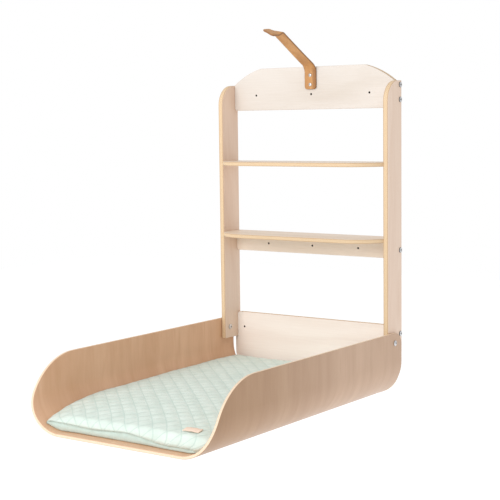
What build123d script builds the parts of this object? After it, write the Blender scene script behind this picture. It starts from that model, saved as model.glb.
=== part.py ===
"""Wall-mounted fold-down changing table in birch plywood.

Two side posts carry a top panel, two shelves, a wall rail and a lower panel.
A moulded tray with a mattress swings on two barrel screws at the foot of the posts.
Frame: X to the right, Y towards the wall, Z up. The wall is the plane y = 0, and the
origin is the middle wall hole of the top panel. All sizes are in millimetres.
"""
from build123d import *
import os
from math import asin, cos, degrees, sin, sqrt

os.makedirs("parts", exist_ok=True)

# ---- boards ----
BOARD = 15.0                 # posts, panels and rail
SHELF_BOARD = 12.0
EDGE_R = 1.2                 # sanded edge of every board
INNER_WIDTH = 564.0          # between the posts
HALF = INNER_WIDTH / 2
POST_FACE = HALF + BOARD     # outer face of a post
CUT = 1.0                    # how far a cut runs past the faces it opens

# ---- heights, from the wall holes of the top panel ----
PANEL_TOP_Z = 81.0
POST_TOP_Z = 32.0
PANEL_LOW_Z = -45.0
UPPER_SHELF_Z = -199.0       # top faces of the shelves
LOWER_SHELF_Z = -416.0
LOWER_PANEL_TOP_Z = -673.5
TRAY_RIM_Z = -688.0
POST_FOOT_Z = -751.0
TRAY_UNDER_Z = -880.0

# ---- posts, shelves, rail and panels ----
POST_DEPTH = 80.0
POST_CORNER_R = 61.0
SHOULDER_Z = POST_TOP_Z + 1  # where the top panel's curved top meets the post
SHOULDER_START_X = 184.0     # where the level top gives way to a shoulder
SHOULDER_MID = (238.0, 61.0)
SHOULDER_START_R = 40.0
CORNER_R = 8.0               # small corners of the panels and the rail
SHELF_DEPTH = 145.0
SHELF_FRONT_R = 120.0        # bow at each end of a shelf's front edge
SHELF_END_DEPTH = 78.0       # depth of a shelf where it meets the post
RAIL_HEIGHT = 50.0
LOWER_PANEL_HALF = 291.0     # half width below the posts
LOWER_PANEL_R = 85.0
FOOT_GAP = 0.5               # between the post feet and the lower panel

# ---- tray ----
SHELL = 8.0                  # moulded ply
TRAY_HALF = 306.0            # outer half width
BEND_R = 106.0               # outer radius of the moulded bends
TRAY_REAR_Y = -16.5
TRAY_FRONT_Y = -915.0
TRAY_NOSE_R = 170.0          # front corner of each side
TRAY_HEEL_R = 38.0           # rear corner of each side
TRAY_EDGE_R = 1.5
PIVOT_Y = -55.0
PIVOT_Z = -717.0

# ---- mattress ----
PAD_CLEAR = 0.5              # between the mattress and the tray
PAD_TOP_Z = -814.0
PAD_REAR_Y = -28.0
PAD_FRONT_Y = -886.0
PAD_ROUND = 14.0
COVER = 2.5
CORE_CLEAR = 0.2
LABEL_LENGTH = 50.0
LABEL_WIDTH = 20.0
LABEL_THICK = 1.5
LABEL_CORNER_R = 2.0
LABEL_AT = (199.0, -858.0)

# ---- strap ----
STRAP_WIDTH = 40.0
STRAP = 5.0                  # leather thickness
STRAP_FOOT_Z = 14.5
STRAP_LIFT_Z = 62.0          # where it curls away from the panel
STRAP_CURL_R = 30.0
STRAP_HINGE_TURN = 34.0      # degrees of curl up to the flexing line
STRAP_RISE = 29.0            # degrees above level of the free length
STRAP_REACH = 174.0          # free length from the curl to the crease
STRAP_CREASE_R = 12.0
STRAP_TIP_DROP = 5.0         # degrees below level of the tip
STRAP_TIP = 46.0
STRAP_CORNER_R = 8.0
STRAP_GAP = 0.3              # at the flexing line

# ---- wall holes ----
WALL_HOLE_R = 3.25
TOP_HOLES_X = 200.0
RAIL_HOLES_X = 160.0
LOWER_HOLES_X = 256.0
LOWER_HOLES_Z = -720.0

# ---- pivots ----
SLEEVE_R = 5.0
RUNNING = 0.05               # radial play of the tray and posts on the sleeves
PIVOT_SCREW_R = 3.0
PIVOT_SCREW_REACH = 20.0     # screw length inside the sleeve
PIVOT_HEAD_R = 8.0
PIVOT_HEAD = 3.2
HEAD_CLEAR = 0.3             # pivot screw head to the tray
WASHER_R = 10.0
WASHER_HOLE_R = 5.1
WASHER = 0.8

# ---- connector bolts and cross dowels ----
BOLT_Y = -BOARD / 2
BOLT_R = 3.0
BOLT_HOLE_R = 3.3
BOLT_HEAD_R = 7.5
BOLT_HEAD = 2.2
BOLT_HEAD_EDGE = 0.6
BOLT_LENGTH = 50.0
CROSS_X = 253.0
CROSS_R = 5.0
CROSS_HOLE_R = 5.1
CROSS_LENGTH = 10.0
CROSS_THREAD_R = 3.0
BOLT_RUNOUT = 10.0           # end hole past the cross dowel's axis
SOCKET_R = 2.9               # hexagon socket, across corners
SOCKET_DEPTH = 1.7
RAIL_TOP_Z = LOWER_SHELF_Z - SHELF_BOARD
RAIL_MID_Z = RAIL_TOP_Z - RAIL_HEIGHT / 2
TOP_BOLTS_Z = (20.0, -22.0)
LOWER_BOLT_Z = -696.0

# ---- shelf dowels ----
DOWEL_R = 4.0
DOWEL_HOLE_R = 4.05
DOWEL_IN_POST = 10.0
DOWEL_LENGTH = 28.0
DOWEL_SLACK = 0.3            # hole deeper than the dowel
DOWELS_Y = (-18.0, -60.0)
SHELVES = {"upper": UPPER_SHELF_Z, "lower": LOWER_SHELF_Z}

# ---- strap screws ----
STRAP_SCREWS_Z = (28.0, 56.0)
STRAP_SCREW_R = 2.0
STRAP_SCREW_PILOT_R = 2.0
STRAP_SCREW_HOLE_R = 2.2
STRAP_SCREW_HEAD_R = 5.2
STRAP_SCREW_HEAD = 2.6
STRAP_SCREW_LENGTH = 14.0

SIDES = {"left": -1, "right": 1}
DOME_RIM = 0.35              # share of a domed head's height taken by its straight rim


def save(part, name):
    """Label a finished piece and write its STEP file."""
    part.label = name
    export_step(part, f"parts/{name}.step")


def along_x(side, start):
    """Plane at x = side * start, its normal pointing away from the middle."""
    return Plane((side * start, 0, 0), x_dir=(0, 1, 0), z_dir=(side, 0, 0))


def on_side(side, y, z):
    """Sketch position of (y, z) on an along_x plane."""
    return (y, side * z)


def soften(builder, axis, radius=EDGE_R):
    """Sand the edges around the two flat faces square to an axis."""
    flat_faces = builder.faces().filter_by(axis)
    fillet(flat_faces.edges(), radius)


def dome(start, height, radius, tip):
    """Half outline of a domed head: its straight rim from start, then a round cap."""
    rim = height * DOME_RIM
    cap = height - rim
    cap_r = (radius**2 + cap**2) / (2 * cap)
    half_turn = asin(radius / cap_r) / 2
    half_way = (start + tip * (height - cap_r + cap_r * cos(half_turn)), cap_r * sin(half_turn))
    Line((start, radius), (start + tip * rim, radius))
    ThreePointArc((start + tip * rim, radius), half_way, (start + tip * height, 0))


def sockets(plane, spots):
    """Cut hexagon sockets into the screw heads whose tops lie in a plane."""
    with BuildSketch(plane.offset(CUT)) as hexagons:
        with Locations(*spots):
            RegularPolygon(SOCKET_R, 6)
    extrude(hexagons.sketch, amount=-SOCKET_DEPTH - CUT, mode=Mode.SUBTRACT)


def wall_holes(spots):
    """Cut screw holes straight through a panel that lies against the wall."""
    with BuildSketch(Plane.XZ.offset(-CUT)) as holes:
        with Locations(*spots):
            Circle(WALL_HOLE_R)
    extrude(holes.sketch, amount=BOARD + 2 * CUT, mode=Mode.SUBTRACT)


def bolt_holes(heights):
    """Cut the end holes of a panel and its blind cross dowel holes from the wall side."""
    for side in SIDES.values():
        with BuildSketch(along_x(side, CROSS_X - BOLT_RUNOUT)) as end_holes:
            with Locations(*[on_side(side, BOLT_Y, z) for z in heights]):
                Circle(BOLT_HOLE_R)
        extrude(end_holes.sketch, amount=POST_FACE - CROSS_X + BOLT_RUNOUT, mode=Mode.SUBTRACT)
    with BuildSketch(Plane.XZ) as dowel_holes:
        with Locations(*[(side * CROSS_X, z) for side in SIDES.values() for z in heights]):
            Circle(CROSS_HOLE_R)
    extrude(dowel_holes.sketch, amount=CROSS_LENGTH / 2 - BOLT_Y, mode=Mode.SUBTRACT)


def trough(half, radius, low_z, top_z):
    """Cross-section of a trough: flat floor, rounded sides, straight walls if it is tall."""
    centre_z = low_z + radius
    climb = min(top_z - centre_z, 0)
    sweep = 90 + degrees(asin(climb / radius))
    edge_x = half - radius + sqrt(radius**2 - climb**2)
    with BuildLine() as outline:
        CenterArc((half - radius, centre_z), radius, -90, sweep)
        CenterArc((radius - half, centre_z), radius, -90, -sweep)
        Line((radius - half, low_z), (half - radius, low_z))
        if climb == 0:
            Line((half, centre_z), (half, top_z))
            Line((-half, centre_z), (-half, top_z))
        Line((-edge_x, top_z), (edge_x, top_z))
    make_face(outline.edges())


# ---- posts ----
for side_name, side in SIDES.items():
    with BuildPart() as post:
        with BuildSketch(Plane.YZ.offset(min(side * HALF, side * POST_FACE))):
            corner_y = POST_CORNER_R - POST_DEPTH
            corner_z = POST_TOP_Z - POST_CORNER_R
            with BuildLine():
                CenterArc((corner_y, corner_z), POST_CORNER_R, 90, 90)
                Polyline((-POST_DEPTH, corner_z), (-POST_DEPTH, POST_FOOT_Z), (0, POST_FOOT_Z),
                         (0, POST_TOP_Z), (corner_y, POST_TOP_Z))
            make_face()
        extrude(amount=BOARD)
        soften(post, Axis.X)
        with BuildSketch(along_x(side, HALF - CUT)):
            bolts_z = (*TOP_BOLTS_Z, RAIL_MID_Z, LOWER_BOLT_Z)
            with Locations(*[on_side(side, BOLT_Y, z) for z in bolts_z]):
                Circle(BOLT_HOLE_R)
            with Locations(on_side(side, PIVOT_Y, PIVOT_Z)):
                Circle(SLEEVE_R + RUNNING)
        extrude(amount=BOARD + 2 * CUT, mode=Mode.SUBTRACT)
        with BuildSketch(along_x(side, HALF)):
            spots = [on_side(side, y, z - SHELF_BOARD / 2) for y in DOWELS_Y for z in SHELVES.values()]
            with Locations(*spots):
                Circle(DOWEL_HOLE_R)
        extrude(amount=DOWEL_IN_POST + DOWEL_SLACK, mode=Mode.SUBTRACT)
    save(post.part, f"{side_name}_post")

# ---- top panel ----
with BuildPart() as top_panel:
    with BuildSketch(Plane.XZ):
        mid_x, mid_z = SHOULDER_MID
        with BuildLine():
            for side in (-1, 1):
                start = (side * SHOULDER_START_X, PANEL_TOP_Z)
                ThreePointArc(start, (side * mid_x, mid_z), (side * HALF, SHOULDER_Z))
            Line((-SHOULDER_START_X, PANEL_TOP_Z), (SHOULDER_START_X, PANEL_TOP_Z))
            Polyline((-HALF, SHOULDER_Z), (-HALF, PANEL_LOW_Z), (HALF, PANEL_LOW_Z), (HALF, SHOULDER_Z))
        make_face()
        fillet(vertices().group_by(Axis.Y)[0], CORNER_R)
        fillet(vertices().group_by(Axis.Y)[-1], SHOULDER_START_R)
    extrude(amount=BOARD)
    soften(top_panel, Axis.Y)
    wall_holes([(x, 0) for x in (-TOP_HOLES_X, 0, TOP_HOLES_X)])
    bolt_holes(TOP_BOLTS_Z)
    with BuildSketch(Plane.XZ.offset(BOARD)):
        with Locations(*[(0, z) for z in STRAP_SCREWS_Z]):
            Circle(STRAP_SCREW_PILOT_R)
    extrude(amount=STRAP - STRAP_SCREW_LENGTH, mode=Mode.SUBTRACT)
save(top_panel.part, "top_panel")

# ---- shelves with their dowels ----
for shelf_name, shelf_z in SHELVES.items():
    dowel_spots = {side: [on_side(side, y, shelf_z - SHELF_BOARD / 2) for y in DOWELS_Y]
                   for side in SIDES.values()}
    with BuildPart() as shelf:
        with BuildSketch(Plane.XY.offset(shelf_z - SHELF_BOARD)):
            bow_y = SHELF_FRONT_R - SHELF_DEPTH
            drop = SHELF_END_DEPTH + bow_y
            sweep = 90 - degrees(asin(drop / SHELF_FRONT_R))
            flat = HALF - sqrt(SHELF_FRONT_R**2 - drop**2)
            with BuildLine():
                CenterArc((flat, bow_y), SHELF_FRONT_R, -90, sweep)
                CenterArc((-flat, bow_y), SHELF_FRONT_R, -90, -sweep)
                Line((-flat, -SHELF_DEPTH), (flat, -SHELF_DEPTH))
                Polyline((-HALF, -SHELF_END_DEPTH), (-HALF, 0), (HALF, 0), (HALF, -SHELF_END_DEPTH))
            make_face()
        extrude(amount=SHELF_BOARD)
        soften(shelf, Axis.Z)
        for side, spots in dowel_spots.items():
            with BuildSketch(along_x(side, HALF + DOWEL_IN_POST - DOWEL_LENGTH - DOWEL_SLACK)):
                with Locations(*spots):
                    Circle(DOWEL_HOLE_R)
            extrude(amount=DOWEL_LENGTH, mode=Mode.SUBTRACT)
    save(shelf.part, f"{shelf_name}_shelf")

    with BuildPart() as shelf_dowels:
        for side, spots in dowel_spots.items():
            with BuildSketch(along_x(side, HALF + DOWEL_IN_POST - DOWEL_LENGTH)):
                with Locations(*spots):
                    Circle(DOWEL_R)
            extrude(amount=DOWEL_LENGTH)
    save(shelf_dowels.part, f"{shelf_name}_shelf_dowels")

# ---- wall rail ----
with BuildPart() as wall_rail:
    with BuildSketch(Plane.XZ):
        with Locations((0, RAIL_MID_Z)):
            Rectangle(INNER_WIDTH, RAIL_HEIGHT)
        fillet(vertices().group_by(Axis.Y)[0], CORNER_R)
    extrude(amount=BOARD)
    soften(wall_rail, Axis.Y)
    wall_holes([(x, RAIL_MID_Z) for x in (-RAIL_HOLES_X, 0, RAIL_HOLES_X)])
    bolt_holes((RAIL_MID_Z,))
save(wall_rail.part, "wall_rail")

# ---- lower panel, wider below the posts ----
with BuildPart() as lower_panel:
    with BuildSketch(Plane.XZ):
        ledge_z = POST_FOOT_Z - FOOT_GAP
        corner_x = LOWER_PANEL_HALF - LOWER_PANEL_R
        corner_z = TRAY_UNDER_Z + LOWER_PANEL_R
        with BuildLine():
            for side in SIDES.values():
                Polyline((0, LOWER_PANEL_TOP_Z), (side * HALF, LOWER_PANEL_TOP_Z), (side * HALF, ledge_z),
                         (side * LOWER_PANEL_HALF, ledge_z), (side * LOWER_PANEL_HALF, corner_z))
                CenterArc((side * corner_x, corner_z), LOWER_PANEL_R, -90, side * 90)
            Line((-corner_x, TRAY_UNDER_Z), (corner_x, TRAY_UNDER_Z))
        make_face()
        fillet(vertices().group_by(Axis.Y)[-1].filter_by(lambda v: abs(v.X) > 1), CORNER_R)
    extrude(amount=BOARD)
    soften(lower_panel, Axis.Y)
    wall_holes([(x, LOWER_HOLES_Z) for x in (-LOWER_HOLES_X, LOWER_HOLES_X)])
    bolt_holes((LOWER_BOLT_Z,))
save(lower_panel.part, "lower_panel")

# ---- tray ----
with BuildPart() as tray_shell:
    tray_length = TRAY_REAR_Y - TRAY_FRONT_Y
    with BuildSketch(Plane.XZ.offset(-TRAY_REAR_Y)):
        trough(TRAY_HALF, BEND_R, TRAY_UNDER_Z, TRAY_RIM_Z)
    extrude(amount=tray_length)
    with BuildSketch(Plane.XZ.offset(-TRAY_REAR_Y - CUT)):
        trough(TRAY_HALF - SHELL, BEND_R - SHELL, TRAY_UNDER_Z + SHELL, TRAY_RIM_Z + CUT)
    extrude(amount=tray_length + 2 * CUT, mode=Mode.SUBTRACT)
    with BuildSketch(Plane.YZ.offset(-TRAY_HALF - CUT)):
        with Locations((TRAY_REAR_Y - tray_length / 2, (TRAY_RIM_Z + TRAY_UNDER_Z) / 2)):
            Rectangle(tray_length, TRAY_RIM_Z - TRAY_UNDER_Z)
        fillet(vertices().group_by(Axis.Y)[-1].sort_by(Axis.X)[0], TRAY_NOSE_R)
        fillet(vertices().group_by(Axis.Y)[-1].sort_by(Axis.X)[-1], TRAY_HEEL_R)
    extrude(amount=2 * (TRAY_HALF + CUT), mode=Mode.INTERSECT)
    fillet(tray_shell.edges(), TRAY_EDGE_R)
    with BuildSketch(Plane.YZ.offset(-TRAY_HALF - CUT)):
        with Locations((PIVOT_Y, PIVOT_Z)):
            Circle(SLEEVE_R + RUNNING)
    extrude(amount=2 * (TRAY_HALF + CUT), mode=Mode.SUBTRACT)
save(tray_shell.part, "tray_shell")


def pad(inset):
    """Solid of the mattress, shrunk all round by inset."""
    trim = SHELL + PAD_CLEAR + inset
    with BuildSketch(Plane.XZ.offset(inset - PAD_REAR_Y)) as section:
        trough(TRAY_HALF - trim, BEND_R - trim, TRAY_UNDER_Z + trim, PAD_TOP_Z - inset)
    extrude(section.sketch, amount=PAD_REAR_Y - PAD_FRONT_Y - 2 * inset)


# ---- mattress: foam core, sewn cover and label ----
with BuildPart() as cover_space:
    pad(COVER)
    fillet(cover_space.faces().sort_by(Axis.Z)[-1].edges(), PAD_ROUND - COVER)

with BuildPart() as mattress_cover:
    pad(0)
    fillet(mattress_cover.faces().sort_by(Axis.Z)[-1].edges(), PAD_ROUND)
    add(cover_space.part, mode=Mode.SUBTRACT)
save(mattress_cover.part, "mattress_cover")

with BuildPart() as mattress_core:
    pad(COVER + CORE_CLEAR)
    fillet(mattress_core.faces().sort_by(Axis.Z)[-1].edges(), PAD_ROUND - COVER - CORE_CLEAR)
save(mattress_core.part, "mattress_core")

with BuildPart() as mattress_label:
    with BuildSketch(Plane.XY.offset(PAD_TOP_Z)):
        with Locations(LABEL_AT):
            RectangleRounded(LABEL_LENGTH, LABEL_WIDTH, LABEL_CORNER_R)
    extrude(amount=LABEL_THICK)
save(mattress_label.part, "mattress_label")

# ---- pivots: sleeve from inside each post, washer and screw from outside ----
SCREW_SEAT_X = TRAY_HALF + HEAD_CLEAR
SCREW_END_X = SCREW_SEAT_X - PIVOT_SCREW_REACH
for side_name, side in SIDES.items():
    pivot_axis = Axis((0, PIVOT_Y, PIVOT_Z), (1, 0, 0))
    section = Plane((0, PIVOT_Y, PIVOT_Z), x_dir=(side, 0, 0), z_dir=(0, -1, 0))
    on_pivot = [on_side(side, PIVOT_Y, PIVOT_Z)]

    with BuildPart() as pivot_sleeve:
        with BuildSketch(section):
            with BuildLine():
                dome(HALF, PIVOT_HEAD, PIVOT_HEAD_R, -1)
                Polyline((HALF - PIVOT_HEAD, 0), (SCREW_END_X, 0), (SCREW_END_X, PIVOT_SCREW_R),
                         (SCREW_SEAT_X, PIVOT_SCREW_R), (SCREW_SEAT_X, SLEEVE_R), (HALF, SLEEVE_R),
                         (HALF, PIVOT_HEAD_R))
            make_face()
        revolve(axis=pivot_axis)
        sockets(along_x(-side, PIVOT_HEAD - HALF), [on_side(-side, PIVOT_Y, PIVOT_Z)])
    save(pivot_sleeve.part, f"pivot_sleeve_{side_name}")

    with BuildPart() as pivot_washer:
        with BuildSketch(along_x(side, POST_FACE)):
            with Locations(*on_pivot):
                Circle(WASHER_R)
                Circle(WASHER_HOLE_R, mode=Mode.SUBTRACT)
        extrude(amount=WASHER)
    save(pivot_washer.part, f"pivot_washer_{side_name}")

    with BuildPart() as pivot_screw:
        with BuildSketch(section):
            with BuildLine():
                dome(SCREW_SEAT_X, PIVOT_HEAD, PIVOT_HEAD_R, 1)
                Polyline((SCREW_SEAT_X + PIVOT_HEAD, 0), (SCREW_END_X, 0), (SCREW_END_X, PIVOT_SCREW_R),
                         (SCREW_SEAT_X, PIVOT_SCREW_R), (SCREW_SEAT_X, PIVOT_HEAD_R))
            make_face()
        revolve(axis=pivot_axis)
        sockets(along_x(side, SCREW_SEAT_X + PIVOT_HEAD), on_pivot)
    save(pivot_screw.part, f"pivot_screw_{side_name}")

# ---- connector bolts, one node for each joint of a board with a post ----
BOLT_GROUPS = {
    "top_panel_bolts": TOP_BOLTS_Z,
    "rail_bolt": (RAIL_MID_Z,),
    "lower_panel_bolt": (LOWER_BOLT_Z,),
}
for group, heights in BOLT_GROUPS.items():
    for side_name, side in SIDES.items():
        spots = [on_side(side, BOLT_Y, z) for z in heights]
        with BuildPart() as bolts:
            with BuildSketch(along_x(side, POST_FACE)):
                with Locations(*spots):
                    Circle(BOLT_HEAD_R)
            extrude(amount=BOLT_HEAD)
            outward = Axis((0, 0, 0), (side, 0, 0))
            fillet(bolts.faces().group_by(outward)[-1].edges(), BOLT_HEAD_EDGE)
            with BuildSketch(along_x(side, POST_FACE)):
                with Locations(*spots):
                    Circle(BOLT_R)
            extrude(amount=-BOLT_LENGTH)
            sockets(along_x(side, POST_FACE + BOLT_HEAD), spots)
        save(bolts.part, f"{group}_{side_name}")

with BuildPart() as cross_dowels:
    all_heights = [z for heights in BOLT_GROUPS.values() for z in heights]
    with BuildSketch(Plane.XZ.offset(-BOLT_Y - CROSS_LENGTH / 2)):
        with Locations(*[(side * CROSS_X, z) for side in SIDES.values() for z in all_heights]):
            Circle(CROSS_R)
    extrude(amount=CROSS_LENGTH)
    with BuildSketch(Plane.YZ.offset(-POST_FACE)):
        with Locations(*[(BOLT_Y, z) for z in all_heights]):
            Circle(CROSS_THREAD_R)
    extrude(amount=2 * POST_FACE, mode=Mode.SUBTRACT)
save(cross_dowels.part, "cross_dowels")

# ---- strap: its centre line lies in the plane x = 0 ----
STRAP_Y = -BOARD - STRAP / 2
CURL_CENTRE = (STRAP_Y - STRAP_CURL_R, STRAP_LIFT_Z)

with BuildPart() as strap_base:
    nose = degrees((STRAP / 2 + STRAP_GAP) / STRAP_CURL_R)
    with BuildSketch(Plane.YZ):
        with BuildLine():
            Line((STRAP_Y, STRAP_FOOT_Z), (STRAP_Y, STRAP_LIFT_Z))
            CenterArc(CURL_CENTRE, STRAP_CURL_R, 0, STRAP_HINGE_TURN - nose)
        trace(line_width=STRAP)
    extrude(amount=STRAP_WIDTH / 2, both=True)
    foot = strap_base.faces().sort_by(Axis.Z)[0]
    fillet(foot.edges().filter_by(Axis.Y), STRAP_CORNER_R)
    with BuildSketch(Plane.XZ.offset(BOARD - CUT)):
        with Locations(*[(0, z) for z in STRAP_SCREWS_Z]):
            Circle(STRAP_SCREW_HOLE_R)
    extrude(amount=STRAP + 2 * CUT, mode=Mode.SUBTRACT)
save(strap_base.part, "strap_base")

with BuildPart() as strap_tail:
    with BuildSketch(Plane.YZ):
        with BuildLine():
            curl_sweep = 90 - STRAP_RISE - STRAP_HINGE_TURN
            curl = CenterArc(CURL_CENTRE, STRAP_CURL_R, STRAP_HINGE_TURN, curl_sweep)
            reach = PolarLine(curl @ 1, STRAP_REACH, direction=curl % 1)
            crease = JernArc(reach @ 1, reach % 1, STRAP_CREASE_R, STRAP_RISE + STRAP_TIP_DROP)
            PolarLine(crease @ 1, STRAP_TIP, direction=crease % 1)
        trace(line_width=STRAP)
        with Locations(curl @ 0):
            Circle(STRAP / 2)
    extrude(amount=STRAP_WIDTH / 2, both=True)
    tip_edges = strap_tail.faces().sort_by(Axis.Y)[0].edges()
    fillet(tip_edges.filter_by(lambda edge: edge.length < STRAP + CUT), STRAP_CORNER_R)
save(strap_tail.part, "strap_tail")

with BuildPart() as strap_screws:
    for z in STRAP_SCREWS_Z:
        with BuildSketch(Plane((0, -BOARD - STRAP, z), x_dir=(0, -1, 0), z_dir=(1, 0, 0))):
            with BuildLine():
                dome(0, STRAP_SCREW_HEAD, STRAP_SCREW_HEAD_R, 1)
                Polyline((STRAP_SCREW_HEAD, 0), (-STRAP_SCREW_LENGTH, 0),
                         (-STRAP_SCREW_LENGTH, STRAP_SCREW_R), (0, STRAP_SCREW_R),
                         (0, STRAP_SCREW_HEAD_R))
            make_face()
        revolve(axis=Axis((0, 0, z), (0, 1, 0)))
    sockets(Plane.XZ.offset(BOARD + STRAP + STRAP_SCREW_HEAD), [(0, z) for z in STRAP_SCREWS_Z])
save(strap_screws.part, "strap_screws")
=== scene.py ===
import math

import bpy
import numpy as np
from mathutils import Matrix, Vector, noise


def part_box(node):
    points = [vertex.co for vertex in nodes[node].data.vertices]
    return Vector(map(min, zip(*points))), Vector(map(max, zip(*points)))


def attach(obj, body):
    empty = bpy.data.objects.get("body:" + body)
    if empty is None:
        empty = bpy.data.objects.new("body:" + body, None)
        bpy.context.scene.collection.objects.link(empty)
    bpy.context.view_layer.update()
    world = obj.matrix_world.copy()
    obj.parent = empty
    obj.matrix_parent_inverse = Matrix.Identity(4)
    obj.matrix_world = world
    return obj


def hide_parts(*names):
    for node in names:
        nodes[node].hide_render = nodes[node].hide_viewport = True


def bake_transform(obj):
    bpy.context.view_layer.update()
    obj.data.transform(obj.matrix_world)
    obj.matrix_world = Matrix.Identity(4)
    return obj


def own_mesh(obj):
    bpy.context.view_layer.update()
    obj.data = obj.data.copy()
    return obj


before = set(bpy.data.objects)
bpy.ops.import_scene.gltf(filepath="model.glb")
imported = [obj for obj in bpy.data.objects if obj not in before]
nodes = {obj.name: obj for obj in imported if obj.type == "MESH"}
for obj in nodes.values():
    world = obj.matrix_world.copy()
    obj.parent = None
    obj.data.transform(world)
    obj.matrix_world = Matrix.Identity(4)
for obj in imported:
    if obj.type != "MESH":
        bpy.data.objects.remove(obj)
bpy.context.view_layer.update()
MM = 0.001


# ---------------------------------------------------------------- materials
class Graph:
    """A material with short calls for its nodes. Sockets and plain numbers can be mixed freely."""

    def __init__(self, name):
        self.material = bpy.data.materials.new(name)
        self.material.use_nodes = True
        self.tree = self.material.node_tree
        self.tree.nodes.clear()
        coords = self.tree.nodes.new("ShaderNodeTexCoord")
        self.place = self.split(coords.outputs["Object"])
        self.facing = self.split(coords.outputs["Normal"])

    def put(self, socket, value):
        if isinstance(value, bpy.types.NodeSocket):
            self.tree.links.new(value, socket)
        else:
            socket.default_value = value

    def math(self, operation, *values):
        node = self.tree.nodes.new("ShaderNodeMath")
        node.operation = operation
        for socket, value in zip(node.inputs, values):
            self.put(socket, value)
        return node.outputs[0]

    def add(self, a, b):
        return self.math("ADD", a, b)

    def sub(self, a, b):
        return self.math("SUBTRACT", a, b)

    def mul(self, a, b):
        return self.math("MULTIPLY", a, b)

    def div(self, a, b):
        return self.math("DIVIDE", a, b)

    def least(self, a, b):
        return self.math("MINIMUM", a, b)

    def most(self, a, b):
        return self.math("MAXIMUM", a, b)

    def size(self, a):
        return self.math("ABSOLUTE", a)

    def rest(self, share):
        """What a share leaves of one."""
        return self.sub(1.0, share)

    def length(self, a, b):
        return self.math("SQRT", self.add(self.mul(a, a), self.mul(b, b)))

    def split(self, vector):
        node = self.tree.nodes.new("ShaderNodeSeparateXYZ")
        self.put(node.inputs[0], vector)
        return node.outputs[0], node.outputs[1], node.outputs[2]

    def join(self, x, y, z):
        node = self.tree.nodes.new("ShaderNodeCombineXYZ")
        for socket, value in zip(node.inputs, (x, y, z)):
            self.put(socket, value)
        return node.outputs[0]

    def scaled(self, x, y, z, kx, ky, kz, shift=0.0):
        """Vector of three coordinates, each times its own number of cycles per metre."""
        return self.join(self.mul(x, kx), self.mul(y, ky), self.add(self.mul(z, kz), shift))

    def flat(self, x, y, kx, ky):
        """The same for a place on a flat sheet."""
        return self.join(self.mul(x, kx), self.mul(y, ky), 0.0)

    def noise(self, vector, detail=3.0, rough=0.5, warp=0.0):
        node = self.tree.nodes.new("ShaderNodeTexNoise")
        self.put(node.inputs["Vector"], vector)
        node.inputs["Scale"].default_value = 1.0
        node.inputs["Detail"].default_value = detail
        node.inputs["Roughness"].default_value = rough
        node.inputs["Distortion"].default_value = warp
        return node.outputs["Fac"]

    def cells(self, vector):
        node = self.tree.nodes.new("ShaderNodeTexVoronoi")
        self.put(node.inputs["Vector"], vector)
        node.inputs["Scale"].default_value = 1.0
        return node.outputs["Distance"]

    def span(self, value, low, high, out_low=0.0, out_high=1.0):
        """Smooth step of value from low to high."""
        node = self.tree.nodes.new("ShaderNodeMapRange")
        node.interpolation_type = "SMOOTHSTEP"
        for name, number in (("Value", value), ("From Min", low), ("From Max", high),
                             ("To Min", out_low), ("To Max", out_high)):
            self.put(node.inputs[name], number)
        return node.outputs["Result"]

    def mix(self, share, a, b):
        node = self.tree.nodes.new("ShaderNodeMix")
        node.data_type = "RGBA"
        self.put(node.inputs["Factor"], share)
        for socket, value in ((node.inputs[6], a), (node.inputs[7], b)):
            self.put(socket, value if isinstance(value, bpy.types.NodeSocket) else (*value, 1.0))
        return node.outputs[2]

    def attribute(self, name):
        """The three numbers that the mesh stores for each vertex."""
        node = self.tree.nodes.new("ShaderNodeAttribute")
        node.attribute_name = name
        return self.split(node.outputs["Vector"])

    def finish(self, colour, roughness, height=None, height_mm=0.0, **sockets):
        shader = self.tree.nodes.new("ShaderNodeBsdfPrincipled")
        output = self.tree.nodes.new("ShaderNodeOutputMaterial")
        self.tree.links.new(shader.outputs[0], output.inputs["Surface"])
        self.put(shader.inputs["Base Color"], colour)
        self.put(shader.inputs["Roughness"], roughness)
        for name, value in sockets.items():
            self.put(shader.inputs[name.replace("_", " ")], value)
        if height is not None:
            bump = self.tree.nodes.new("ShaderNodeBump")
            bump.inputs["Strength"].default_value = 1.0
            bump.inputs["Distance"].default_value = height_mm * MM
            self.put(bump.inputs["Height"], height)
            self.tree.links.new(bump.outputs[0], shader.inputs["Normal"])
        return self.material


# Pairs of colours: the light and the dark figure of each wood.
POST_BIRCH = (0.88, 0.70, 0.57), (0.74, 0.54, 0.41)
# painted light and shade: whiter than the posts for the glare of the front light, and darker than the rail
# and the lower panel to hold back the key light on the top panel
PANEL_BIRCH = (0.74, 0.68, 0.625), (0.625, 0.55, 0.475)
# painted light: whiter than the posts for the glare of the front light
RAIL_BIRCH = (0.95, 0.83, 0.72), (0.83, 0.69, 0.56)
# painted light: whiter than the posts, and the palest birch, to lift the shade that the tray throws on the
# lower panel
LOWER_BIRCH = (0.97, 0.885, 0.82), (0.88, 0.765, 0.69)
SHELF_BIRCH = (0.86, 0.74, 0.61), (0.73, 0.58, 0.44)
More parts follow.
